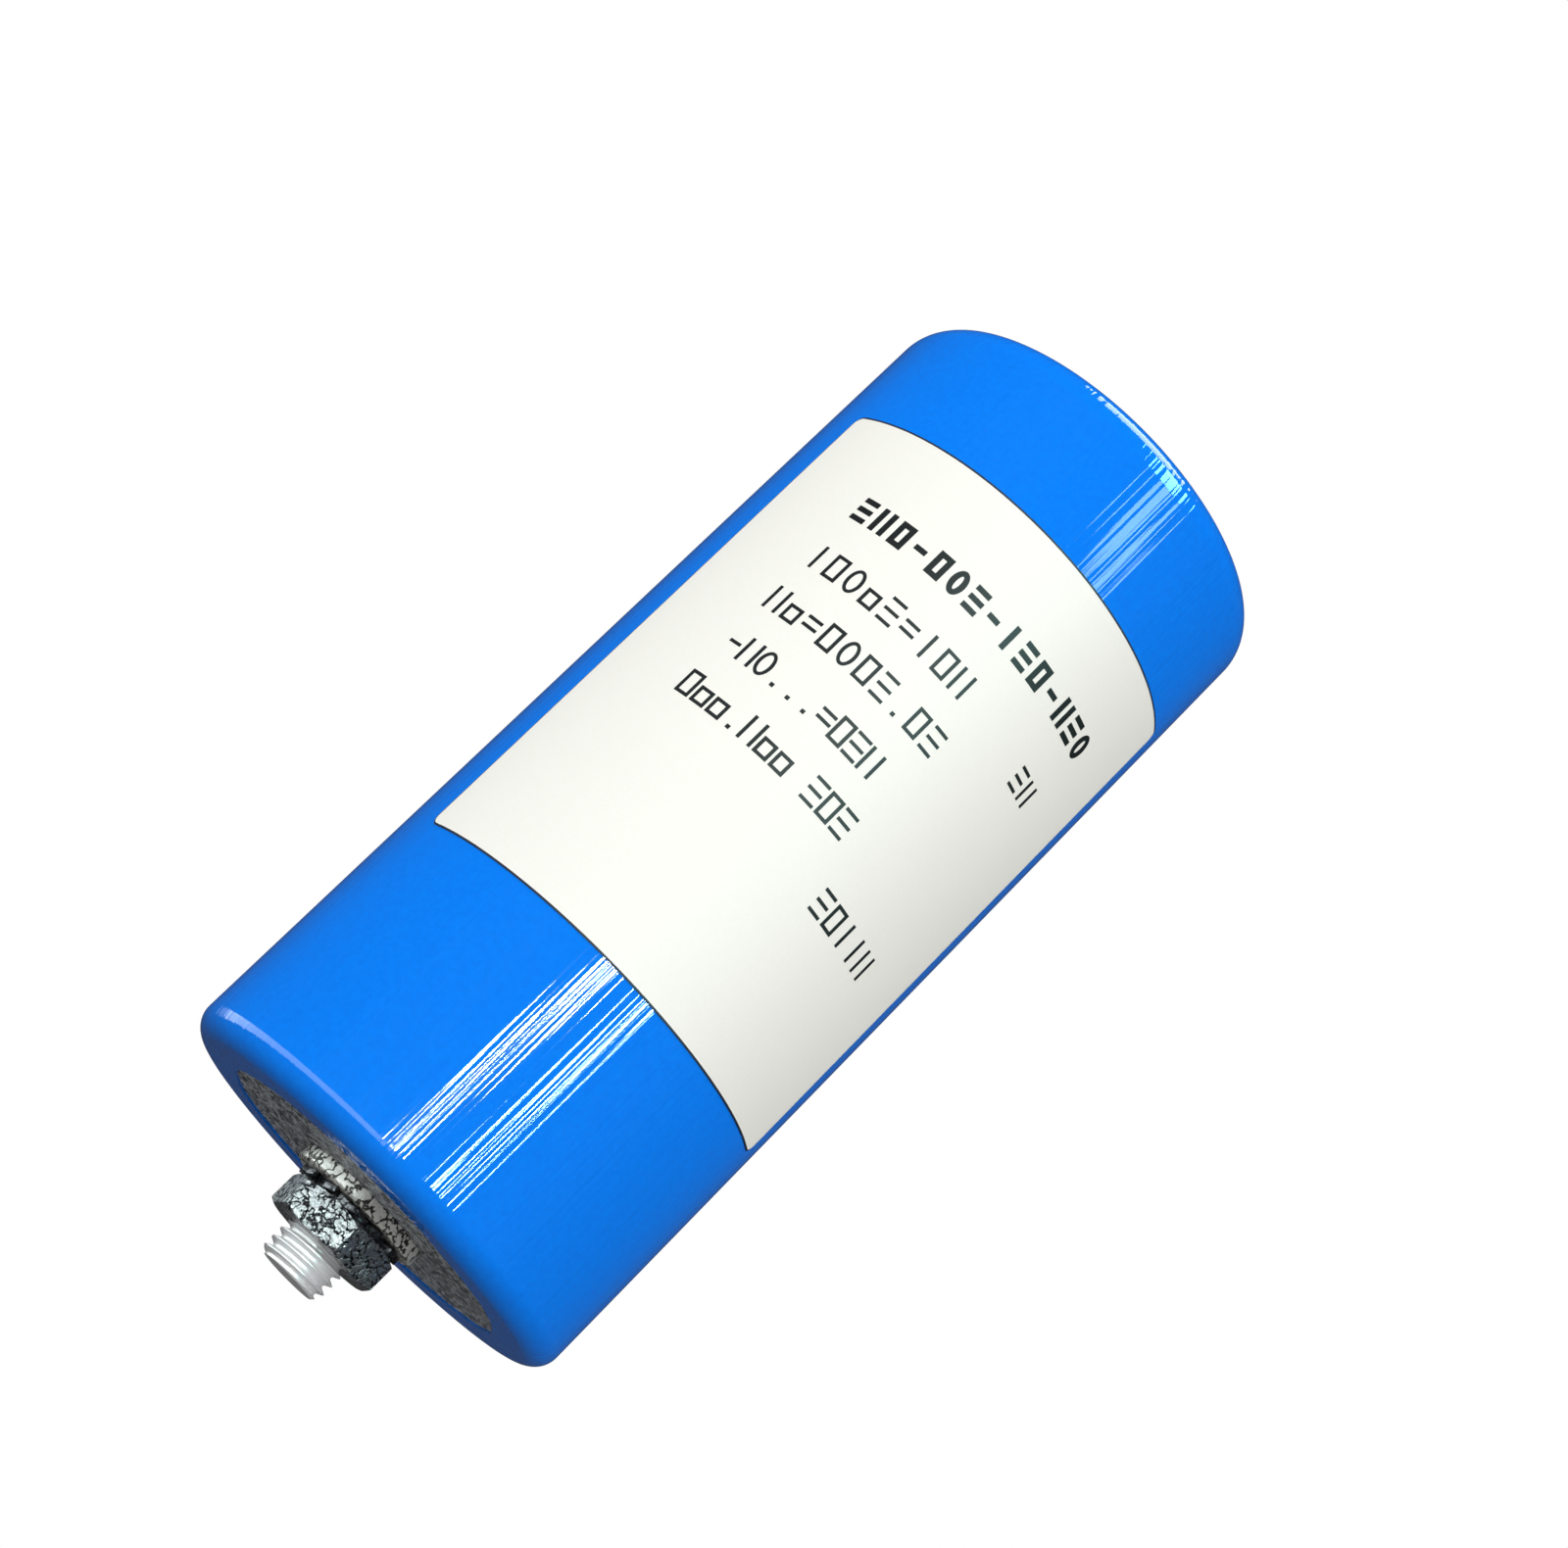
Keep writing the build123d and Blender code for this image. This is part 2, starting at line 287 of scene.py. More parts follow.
class Finish:
    """A material with one Principled shader, whose constants are set on its own sockets."""

    def __init__(self, name, **constants):
        self.material = bpy.data.materials.new(name)
        self.material.use_nodes = True
        self.tree = self.material.node_tree
        self.shader = self.tree.nodes["Principled BSDF"]
        for key, value in constants.items():
            self.shader.inputs[key.replace("_", " ")].default_value = value

    def node(self, kind, settings, inputs, output=0):
        made = self.tree.nodes.new(kind)
        for key, value in settings.items():
            if key == "stops":
                self.set_stops(made.color_ramp, value)
            else:
                setattr(made, key, value)
        for key, value in inputs.items():
            if isinstance(value, Wire):
                self.tree.links.new(value.socket, made.inputs[key])
            else:
                made.inputs[key].default_value = value
        return Wire(self, made.outputs[output])

    @staticmethod
    def set_stops(ramp, stops):
        while len(ramp.elements) < len(stops):
            ramp.elements.new(0.5)
        for element, (place, shade) in zip(ramp.elements, stops):
            element.position = place
            element.color = (shade, shade, shade, 1)

    def feed(self, socket, wire):
        self.tree.links.new(wire.socket, self.shader.inputs[socket])

    def place(self):
        """The point on the piece, as x, y and z in millimetres."""
        point = self.node("ShaderNodeTexCoord", {}, {}, "Object")
        split = [self.node("ShaderNodeSeparateXYZ", {}, {0: point}, axis) for axis in "XYZ"]
        return [axis * 1000.0 for axis in split]

    def turn_of(self, x, y):
        """Angle round Z from -Y toward +X, in radians."""
        return self.sum("ARCTAN2", x, 0.0 - y)

    def sum(self, operation, first, second):
        return self.node("ShaderNodeMath", {"operation": operation}, {0: first, 1: second})

    def point(self, x, y, z):
        return self.node("ShaderNodeCombineXYZ", {}, {0: x, 1: y, 2: z})

    def noise(self, where, scale, detail=3.0, roughness=0.55):
        inputs = {"Vector": where, "Scale": scale, "Detail": detail, "Roughness": roughness}
        return self.node("ShaderNodeTexNoise", {}, inputs)

    def length(self, x, y):
        """How far a point with the given x and y lies from the origin."""
        inputs = {0: self.point(x, y, 0.0)}
        return self.node("ShaderNodeVectorMath", {"operation": "LENGTH"}, inputs, "Value")

    def ramp(self, wire, *stops):
        return self.node("ShaderNodeValToRGB", {"stops": stops}, {0: wire})

    def blend(self, share, first, second):
        """Mix two colours by a share from 0 to 1."""
        return self.node("ShaderNodeMix", {"data_type": "RGBA"}, {0: share, 6: first, 7: second}, 2)

    def bump(self, height, distance):
        """Raise the face by a pattern; the distance is in millimetres."""
        inputs = {"Height": height, "Distance": distance * MM, "Strength": 1.0}
        self.feed("Normal", self.node("ShaderNodeBump", {}, inputs))


def shrink_sleeve():
    """Blue heat-shrunk film: glossy, with fine lines along the tube from its drawing."""
    finish = Finish("shrink_sleeve", IOR=1.5)
    x, y, z = finish.place()
    round_way = finish.turn_of(x, y) * case_radius
    folds = finish.noise(finish.point(round_way, 0.0, z * 0.004), 0.8, detail=1.0)
    lines = finish.noise(finish.point(round_way, 7.0, z * 0.003), 1.5, detail=0.5)
    mottle = finish.noise(finish.point(x, y, z), 0.9, detail=4.0, roughness=0.7)
    share = finish.ramp(mottle, (0.3, 0.0), (0.7, 1.0))
    deep = (0.003, 0.200, 0.90, 1)
    bright = (0.003, 0.232, 0.97, 1)
    finish.feed("Base Color", finish.blend(share, deep, bright))
    finish.feed("Roughness", 0.02 + 0.04 * lines)
    finish.bump(folds * 0.5 + lines * 1.2, 0.08)
    return finish.material


def label_paper():
    """White label stock with a satin face, a fine tooth and a painted dark line of shadow round its
    edge.
    """
    finish = Finish("label_paper", IOR=1.45)
    painted_shadow_width = 0.34
    x, y, z = finish.place()
    across = finish.turn_of(x, y) * case_radius - math.radians(label_turn) * case_radius
    half_width = label_width / 2
    middle = (label_low.z + label_high.z) / 2
    half_height = (label_high.z - label_low.z) / 2
    beyond_side = abs(across) - (half_width - label_corner_radius)
    beyond_end = abs(z - middle) - (half_height - label_corner_radius)
    corner_reach = finish.length(beyond_side.bigger(0.0), beyond_end.bigger(0.0))
    # The edge mask draws a thin dark line of painted shadow round the label's rim.
    edge = corner_reach > (label_corner_radius - painted_shadow_width)
    tooth = finish.noise(finish.point(x, y, z), 2.2, detail=3.0)
    stock = finish.blend(tooth, (0.865, 0.865, 0.80, 1), (0.915, 0.915, 0.86, 1))
    finish.feed("Base Color", finish.blend(edge, stock, (0.006, 0.012, 0.04, 1)))
    finish.feed("Roughness", 0.50 + 0.15 * tooth)
    finish.bump(tooth, 0.02)
    return finish.material


def printing_ink():
    """Black ink, a little uneven where it sank into the paper."""
    finish = Finish("printing_ink", IOR=1.45)
    x, y, z = finish.place()
    patch = finish.noise(finish.point(x, y, z), 3.0)
    finish.feed("Base Color", finish.blend(patch, (0.002, 0.002, 0.003, 1), (0.010, 0.010, 0.012, 1)))
    finish.feed("Roughness", 0.35 + 0.3 * patch)
    return finish.material


def drawn_aluminium():
    """The can's bare metal: dull and dark, with a bright speckle from etching."""
    finish = Finish("drawn_aluminium", Metallic=0.55)
    x, y, z = finish.place()
    where = finish.point(x, y, z)
    grain = finish.noise(where, 0.9, detail=2.0, roughness=0.9)
    speckle = finish.ramp(grain, (0.45, 0.0), (0.54, 1.0))
    cloud = finish.noise(where, 0.25, detail=3.0)
    dark = finish.blend(cloud, (0.03, 0.033, 0.04, 1), (0.09, 0.095, 0.105, 1))
    finish.feed("Base Color", finish.blend(speckle, dark, (0.78, 0.80, 0.83, 1)))
    finish.feed("Roughness", 0.35 + 0.2 * speckle)
    finish.bump(speckle, 0.15)
    return finish.material


def turned_stud_metal():
    """Bright thread metal with fine turning lines."""
    finish = Finish("turned_stud_metal", Metallic=0.3)
    x, y, z = finish.place()
    lines = finish.noise(finish.point(0.0, 0.0, z), 9.0, detail=4.0)
    smudge = finish.noise(finish.point(x, y, z), 0.6)
    finish.feed("Base Color", finish.blend(smudge, (0.86, 0.86, 0.86, 1), (0.95, 0.95, 0.95, 1)))
    finish.feed("Roughness", 0.22 + 0.18 * lines)
    return finish.material


def plated_steel(name, metal, dark, bright, relief, seam=0.045):
    """Zinc plating, mottled: bright spangle broken by dark, winding seams and small dings."""
    finish = Finish(name, Metallic=metal)
    x, y, z = finish.place()
    where = finish.point(x, y, z)
    winding = abs(finish.noise(where, 0.55, detail=2.0, roughness=0.6) - 0.5)
    spangle = finish.ramp(winding, (seam * 0.4, 0.0), (seam, 1.0))
    ding = finish.noise(where, 1.3, detail=3.0)
    finish.feed("Base Color", finish.blend(spangle, dark, bright))
    finish.feed("Roughness", 0.2 + 0.2 * ding)
    finish.bump(spangle * 0.3 + ding, relief)
    return finish.material


def moulded_black():
    """Black moulding compound with a fine spark-eroded grain."""
    finish = Finish("moulded_black", IOR=1.5)
    x, y, z = finish.place()
    where = finish.point(x, y, z)
    grain = finish.noise(where, 4.0, detail=4.0)
    cloud = finish.noise(where, 0.15)
    finish.feed("Base Color", finish.blend(cloud, (0.018, 0.018, 0.019, 1), (0.035, 0.035, 0.037, 1)))
    finish.feed("Roughness", 0.42 + 0.2 * grain)
    finish.bump(grain, 0.03)
    return finish.material


def tinned_brass():
    """Tin plating over brass, turned and slightly satin."""
    finish = Finish("tinned_brass", Metallic=1.0)
    x, y, z = finish.place()
    reach = finish.length(abs(x) - post_offset, y)
    rings = finish.noise(finish.point(reach, 0.0, z), 7.0, detail=3.0)
    smudge = finish.noise(finish.point(x, y, z), 0.5)
    finish.feed("Base Color", finish.blend(smudge, (0.66, 0.64, 0.58, 1), (0.82, 0.80, 0.74, 1)))
    finish.feed("Roughness", 0.22 + 0.2 * rings)
    finish.bump(rings, 0.012)
    return finish.material


def gasket_rubber():
    """Black rubber, greyed by a patchy bloom."""
    finish = Finish("gasket_rubber")
    x, y, z = finish.place()
    bloom = finish.noise(finish.point(x, y, z), 1.6)
    finish.feed("Base Color", finish.blend(bloom, (0.012, 0.012, 0.012, 1), (0.04, 0.04, 0.04, 1)))
    finish.feed("Roughness", 0.6 + 0.25 * bloom)
    finish.bump(bloom, 0.03)
    return finish.material


def pressboard():
    """Brown fibre board with long, flat fibres."""
    finish = Finish("pressboard")
    x, y, z = finish.place()
    fibre = finish.noise(finish.point(x, y, z * 0.2), 1.8, detail=6.0, roughness=0.7)
    finish.feed("Base Color", finish.blend(fibre, (0.36, 0.25, 0.13, 1), (0.62, 0.48, 0.30, 1)))
    finish.feed("Roughness", 0.7 + 0.2 * fibre)
    finish.bump(fibre, 0.05)
    return finish.material


def rolled_film():
    """Metallised film: hundreds of turns that show as rings at the ends and a sheen outside."""
    finish = Finish("rolled_film", Metallic=0.55)
    x, y, z = finish.place()
    reach = finish.length(x, y)
    turns = finish.noise(finish.point(reach, 0.0, z * 0.02), 5.0, detail=4.0)
    finish.feed("Base Color", finish.blend(turns, (0.42, 0.43, 0.46, 1), (0.74, 0.75, 0.78, 1)))
    finish.feed("Roughness", 0.25 + 0.2 * turns)
    finish.bump(turns, 0.02)
    return finish.material


def sprayed_zinc():
    """Zinc sprayed on the winding ends: a dull, gritty crust."""
    finish = Finish("sprayed_zinc", Metallic=0.9)
    x, y, z = finish.place()
    grit = finish.noise(finish.point(x, y, z), 3.2, detail=6.0, roughness=0.75)
    finish.feed("Base Color", finish.blend(grit, (0.28, 0.29, 0.31, 1), (0.62, 0.63, 0.65, 1)))
    finish.feed("Roughness", 0.55 + 0.3 * grit)
    finish.bump(grit, 0.15)
    return finish.material


def rolled_copper():
    """Copper strip with rolling lines and a first brown tarnish."""
    finish = Finish("rolled_copper", Metallic=1.0)
    x, y, z = finish.place()
    lines = finish.noise(finish.point(x * 3.0, y * 3.0, z * 0.1), 2.0, detail=4.0)
    tarnish = finish.noise(finish.point(x, y, z), 0.3)
    finish.feed("Base Color", finish.blend(tarnish, (0.78, 0.36, 0.22, 1), (0.93, 0.52, 0.36, 1)))
    finish.feed("Roughness", 0.2 + 0.25 * lines)
    finish.bump(lines, 0.02)
    return finish.material


def core_tube_plastic():
    """Cream plastic tube with a faint haze drawn along it."""
    finish = Finish("core_tube_plastic")
    x, y, z = finish.place()
    haze = finish.noise(finish.point(x, y, z * 0.2), 1.0)
    finish.feed("Base Color", finish.blend(haze, (0.62, 0.60, 0.54, 1), (0.78, 0.76, 0.70, 1)))
    finish.feed("Roughness", 0.35 + 0.2 * haze)
    return finish.material


def potting_resin():
    """Cast resin, dark amber and glassy, with a slow cloudiness."""
    finish = Finish("potting_resin", IOR=1.55)
    x, y, z = finish.place()
    cloud = finish.noise(finish.point(x, y, z), 0.12, detail=4.0)
    finish.feed("Base Color", finish.blend(cloud, (0.10, 0.065, 0.03, 1), (0.24, 0.17, 0.09, 1)))
    finish.feed("Roughness", 0.15 + 0.2 * cloud)
    return finish.material


# ---- Pieces ----------------------------------------------------------------------------------
def make_sleeve(finish):
    """The shrunk sleeve, wrapped over both rounded ends, with slightly uneven lips."""
    # A loop of faces just past each rounding keeps the long wall's shading straight.
    guard = 0.15
    base_inner_edge = base_edge_radius - sleeve_wall
    rim_inner_edge = rim_edge_radius - sleeve_wall
    outline = [
        (base_lip_radius, 0),
        *arc(base_edge_middle, base_edge_radius, base_edge_radius, -90, 0, 14),
        (case_radius, base_edge_radius + guard),
        (case_radius, shoulder - guard),
        *arc(rim_edge_middle, shoulder, rim_edge_radius, 0, 90, 18),
        (rim_lip_radius, case_top),
        (rim_lip_radius, case_top - sleeve_wall),
        *arc(rim_edge_middle, shoulder, rim_inner_edge, 90, 0, 14),
        (can_radius, base_edge_radius),
        *arc(base_edge_middle, base_edge_radius, base_inner_edge, -8, -90, 9),
        (base_lip_radius, sleeve_wall),
        (base_lip_radius, 0),
    ]
    sleeve = turned("shrunk_sleeve", outline, steps=192)
    # Depth in millimetres, waves round the lip and their start, in radians.
    lip_waves = ((0.28, 3, 0.6), (0.16, 8, 0), (0.08, 19, 0))
    for vertex in sleeve.data.vertices:
        radius = math.hypot(vertex.co.x, vertex.co.y) / MM
        if radius < base_lip_radius + 0.1 and vertex.co.z < MM:
            turn = math.atan2(vertex.co.y, vertex.co.x)
            wander = sum(depth * math.sin(waves * turn + start) for depth, waves, start in lip_waves)
            vertex.co.xy *= (radius + wander) / radius
    finish_piece(sleeve, finish, "blue_sleeve", "sleeve")


def make_can(metal, stud_metal):
    """The bare can with its rolled rim, and the threaded stud in the middle of its floor."""
    floor_top = sleeve_wall + can_floor
    rim_outer_edge = rim_edge_radius - sleeve_wall
    corner_middle = can_radius - can_wall - floor_corner_radius
    corner_height = floor_top + floor_corner_radius
    outline = [
        (0, sleeve_wall),
        *arc(base_edge_middle, base_edge_radius, base_edge_radius - sleeve_wall, -90, 0),
        *arc(rim_edge_middle, shoulder, rim_outer_edge, 0, 90),
        (mouth_radius, case_top - sleeve_wall),
        (mouth_radius, case_top - sleeve_wall - can_wall),
        *arc(rim_edge_middle, shoulder, rim_outer_edge - can_wall, 90, 0),
        *arc(corner_middle, corner_height, floor_corner_radius, 0, -90, 6),
        (0, floor_top),
    ]
    can = turned("drawn_can", outline)
    finish_piece(can, metal, "can_aluminium", "can")

    grip_end = nut_low.z - grip_overrun
    blank = turned(
        "stud_blank",
        [
            (0, stud_end),
            (stud_radius - stud_chamfer, stud_end),
            (stud_radius, stud_end + stud_chamfer),
            (stud_radius, grip_end),
            (grip_radius, grip_end),
            (grip_radius, nut_high.z),
            (stud_radius, nut_high.z),
            (stud_radius, sleeve_wall),
            (0, sleeve_wall),
        ],
        steps=96,
    )
    stud = threaded_rod("mounting_stud", stud_radius, stud_pitch, stud_end - 1, sleeve_wall + 1)
    cut_with(stud, blank, "INTERSECT")
    finish_piece(stud, stud_metal, "can_aluminium", "can")


def make_flat_washer(finish):
    """A stamped washer: rounded where the punch entered, square on its other face."""
    bottom, top = washer_low.z, washer_high.z
    outer = washer_high.x
    clearance = 0.5
    bore = stud_radius + clearance
    round_edge = 0.45
    bore_chamfer = 0.2
    square_edge = 0.12
    outline = [
        (bore, top),
        (bore, bottom + bore_chamfer),
        (bore + bore_chamfer, bottom),
        *arc(outer - round_edge, bottom + round_edge, round_edge, -90, 0, 5),
        (outer, top - square_edge),
        (outer - square_edge, top),
        (bore, top),
    ]
    washer = turned("stamped_washer", outline, steps=128)
    finish_piece(washer, finish, "washer_steel", "flat_washer")


def make_toothed_washer(finish):
    """A spring ring with twelve teeth, each twisted about its own radius."""
    tooth_count = 12
    band_thickness = 1.0
    clearance = 0.25
    bore = stud_radius + clearance
    ring_width = 2.0
    root = bore + ring_width
    reach = toothed_high.x
    middle = (toothed_low.z + toothed_high.z) / 2
    tooth_width = 2.2
    tooth_twist = math.radians(14)
    tooth_sunk_in_ring = 0.5
    tooth_rounding = 0.1
    half = band_thickness / 2
    edge = 0.12
    ring = turned(
        "toothed_washer",
        [
            (bore, middle - half + edge),
            (bore + edge, middle - half),
            (root, middle - half),
            (root, middle + half),
            (bore + edge, middle + half),
            (bore, middle + half - edge),
            (bore, middle - half + edge),
        ],
        steps=96,
    )
    start = root - tooth_sunk_in_ring
    bpy.ops.object.select_all(action="DESELECT")
    bpy.ops.mesh.primitive_cube_add(size=MM, location=((start + reach) / 2 * MM, 0, 0))
    tooth = bpy.context.object
    tooth.scale = (reach - start, tooth_width, band_thickness)
    bpy.ops.object.transform_apply(location=True, rotation=True, scale=True)
    start_editing(tooth)
    bpy.ops.mesh.bevel(offset=tooth_rounding * MM, segments=2, affect="EDGES")
    stop_editing()
    tooth.data.transform(Matrix.Rotation(tooth_twist, 4, "X"))
    moved(tooth, z=middle)
    parts = [ring]
    for number in range(tooth_count):
        copy = tooth.copy()
        copy.data = tooth.data.copy()
        turn = math.radians(360 / tooth_count * number)
        copy.data.transform(Matrix.Rotation(turn, 4, "Z"))
        bpy.context.scene.collection.objects.link(copy)
        parts.append(copy)
    bpy.data.objects.remove(tooth)
    join(parts)
    finish_piece(ring, finish, "spring_steel", "lock_washer")


def join(parts):
    """Make one piece of several; the first keeps its name."""
    bpy.ops.object.select_all(action="DESELECT")
    for part in parts:
        part.select_set(True)
    bpy.context.view_layer.objects.active = parts[0]
    bpy.ops.object.join()
    return parts[0]


def make_nut(finish):
    """A thin hex nut: corners turned off at both faces, and a countersunk bore."""
    bottom, top = nut_low.z, nut_high.z
    corner = nut_across_flats / 2 / math.cos(math.radians(30))
    bpy.ops.object.select_all(action="DESELECT")
    bpy.ops.mesh.primitive_cylinder_add(
        vertices=6,
        radius=corner * MM,
        depth=(top - bottom) * MM,
        location=(0, 0, (bottom + top) / 2 * MM),
        rotation=(0, 0, math.radians(nut_turn - 90)),
    )
    nut = bpy.context.object
    nut.name = "thin_hex_nut"
    bpy.ops.object.transform_apply(location=True, rotation=True, scale=True)
    face_radius = corner - nut_corner_chamfer - 0.5
    fall = nut_corner_chamfer / 2 + 0.3
    outside = corner + 0.02
    chamfer_blank = turned(
        "nut_blank",
        [
            (0, bottom),
            (face_radius, bottom),
            (outside, bottom + fall),
            (outside, top - fall),
            (face_radius, top),
            (0, top),
        ],
        steps=192,
    )
    cut_with(nut, chamfer_blank, "INTERSECT")
    depth = nut_mouth_radius - nut_bore_radius
    bore = turned(
        "nut_bore",
        [
            (0, bottom - 1),
            (nut_mouth_radius + 1, bottom - 1),
            (nut_bore_radius, bottom + depth),
            (nut_bore_radius, top - depth),
            (nut_mouth_radius + 1, top + 1),
            (0, top + 1),
        ],
        steps=96,
    )
    cut_with(nut, bore, "DIFFERENCE")
    apply_modifier(
        nut,
        "BEVEL",
        width=nut_edge_rounding * MM,
        segments=2,
        limit_method="ANGLE",
        angle_limit=math.radians(28),
    )
    finish_piece(nut, finish, "nut_steel", "thin_nut", smooth=30)


def wrap_round_can(sheet, radius):
    """Bend a flat sheet, drawn in the XZ plane, round the can, its middle at the label's turn."""
    corners = [vertex.co.x for vertex in sheet.data.vertices]
    width = max(corners) - min(corners)
    start_editing(sheet)
    facets = int(width / (label_facet_width * MM))
    for number in range(1, facets):
        cut = (min(corners) + width * number / facets, 0, 0)
        bpy.ops.mesh.select_all(action="SELECT")
        bpy.ops.mesh.bisect(plane_co=cut, plane_no=(1, 0, 0))
    stop_editing()
    apply_modifier(
        sheet, "SIMPLE_DEFORM", deform_method="BEND", deform_axis="Z", angle=width / (radius * MM)
    )
    moved(sheet, y=-radius)
    sheet.data.transform(Matrix.Rotation(math.radians(label_turn), 4, "Z"))


def make_label(finish):
    """The label: a rounded sheet, cut flat and wrapped round the sleeve."""
    height = label_high.z - label_low.z
    middle = (0, 0, (label_low.z + label_high.z) / 2 * MM)
    bpy.ops.object.select_all(action="DESELECT")
    bpy.ops.mesh.primitive_plane_add(size=MM, rotation=(math.pi / 2, 0, 0), location=middle)
    label = bpy.context.object
    label.name = "printed_label"
    label.scale = (label_width, height, 1)
    bpy.ops.object.transform_apply(location=True, rotation=True, scale=True)
    start_editing(label)
    bpy.ops.mesh.bevel(offset=label_corner_radius * MM, segments=8, affect="VERTICES")
    stop_editing()
    wrap_round_can(label, label_radius)
    apply_modifier(label, "SOLIDIFY", thickness=label_thickness * MM, offset=-1)
    finish_piece(label, finish, "label_paper", "label")


def flat_bar(width, height, across, up):
    """One straight stroke of a mark, drawn flat."""
    bpy.ops.object.select_all(action="DESELECT")
    bpy.ops.mesh.primitive_plane_add(size=MM, rotation=(math.pi / 2, 0, 0))
    bar = bpy.context.object
    bar.scale = (width, height, 1)
    bpy.ops.object.transform_apply(location=True, rotation=True, scale=True)
    moved(bar, x=across, z=up)
    return [bar]


def flat_loop(corners, width, height, stroke, across, up):
    """A closed stroke of a mark: an oval of many corners, or an upright box of four."""
    bpy.ops.object.select_all(action="DESELECT")
    reach = 0.5 / math.cos(math.pi / corners)
    turn = math.pi / corners if corners == 4 else 0
    bpy.ops.mesh.primitive_circle_add(
        vertices=corners, radius=reach * MM, rotation=(math.pi / 2, turn, 0)
    )
    loop = bpy.context.object
    bpy.ops.object.transform_apply(location=True, rotation=True, scale=True)
    loop.scale = (width, 1, height)
    bpy.ops.object.transform_apply(location=True, rotation=True, scale=True)
    start_editing(loop)
    bpy.ops.mesh.extrude_region_move()
    bpy.ops.transform.resize(value=(1 - 2 * stroke / width, 1, 1 - 2 * stroke / height))
    stop_editing()
    moved(loop, x=across, z=up)
    return [loop]


def draw_mark(shape, across, base, height, stroke):
    """One generic mark of a printed line. The shapes stand for print and spell nothing."""
    width = 0.6 * height
    low_height = 0.68 * height
    middle = base + height / 2
    if shape == "box":
        return flat_loop(4, width, height, stroke, across, middle)
    if shape == "small box":
        return flat_loop(4, width, low_height, stroke, across, base + low_height / 2)
    if shape == "oval":
        return flat_loop(24, width, height, stroke, across, middle)
    if shape == "post":
        return flat_bar(stroke, height, across, middle)
    if shape == "gate":
        apart = (width - stroke) / 2
        left = flat_bar(stroke, height, across - apart, middle)
        return left + flat_bar(stroke, height, across + apart, middle)
    if shape == "rungs":
        levels = (base + stroke / 2, middle, base + height - stroke / 2)
        return [bar for level in levels for bar in flat_bar(width, stroke, across, level)]
    if shape == "dash":
        return flat_bar(0.8 * width, stroke, across, middle)
    if shape == "pair":
        apart = 0.17 * height
        high = flat_bar(width, stroke, across, middle + apart)
        return high + flat_bar(width, stroke, across, middle - apart)
    if shape == "dot":
        side = stroke * 1.2
        return flat_bar(side, side, across, base + stroke * 0.6)
    return []


BOX, LOW, OVAL, POST, GATE = "box", "small box", "oval", "post", "gate"
RUNGS, DASH, PAIR, DOT, GAP = "rungs", "dash", "pair", "dot", "gap"
# Each printed line: its marks, the start across the label and its foot's height in millimetres,
# the room of one mark, the height of a mark and the width of its stroke.
PRINTED_LINES = (
    ((RUNGS, GATE, BOX, DASH, BOX, OVAL, RUNGS, DASH, POST, RUNGS, BOX, DASH, GATE, RUNGS, OVAL),)
    + (-26.2, 124.0, 3.92, 4.7, 1.0),
    ((POST, BOX, OVAL, LOW, RUNGS, PAIR, POST, BOX, GATE), -26.0, 113.1, 3.85, 4.7, 0.6),
    ((GATE, LOW, PAIR, BOX, OVAL, BOX, RUNGS, DOT, BOX, RUNGS), -25.6, 103.4, 3.75, 4.7, 0.6),
    ((DASH, GATE, OVAL, DOT, DOT, DOT, PAIR, BOX, RUNGS, GATE), -25.2, 93.6, 3.2, 4.7, 0.6),
    ((BOX, LOW, LOW, DOT, GATE, LOW, LOW, GAP, RUNGS, BOX, RUNGS), -25.6, 84.0, 3.3, 4.7, 0.6),
    ((RUNGS, GATE), 24.0, 112.0, 3.5, 4.2, 0.6),
    ((RUNGS, BOX, POST, POST, GATE), 14.2, 73.6, 3.5, 4.6, 0.6),
)


def make_print(finish):
    """Lines of generic marks where the real label has its print, wrapped onto the label."""
    strokes = []
    for marks, start, foot, room, height, stroke in PRINTED_LINES:
        for number, shape in enumerate(marks):
            strokes += draw_mark(shape, start + room * number, foot, height, stroke)
    ink = join(strokes)
    ink.name = "label_print"
    wrap_round_can(ink, label_radius + ink_height / 2)
    apply_modifier(ink, "SOLIDIFY", thickness=ink_height * MM, offset=0)
    finish_piece(ink, finish, "label_paper")


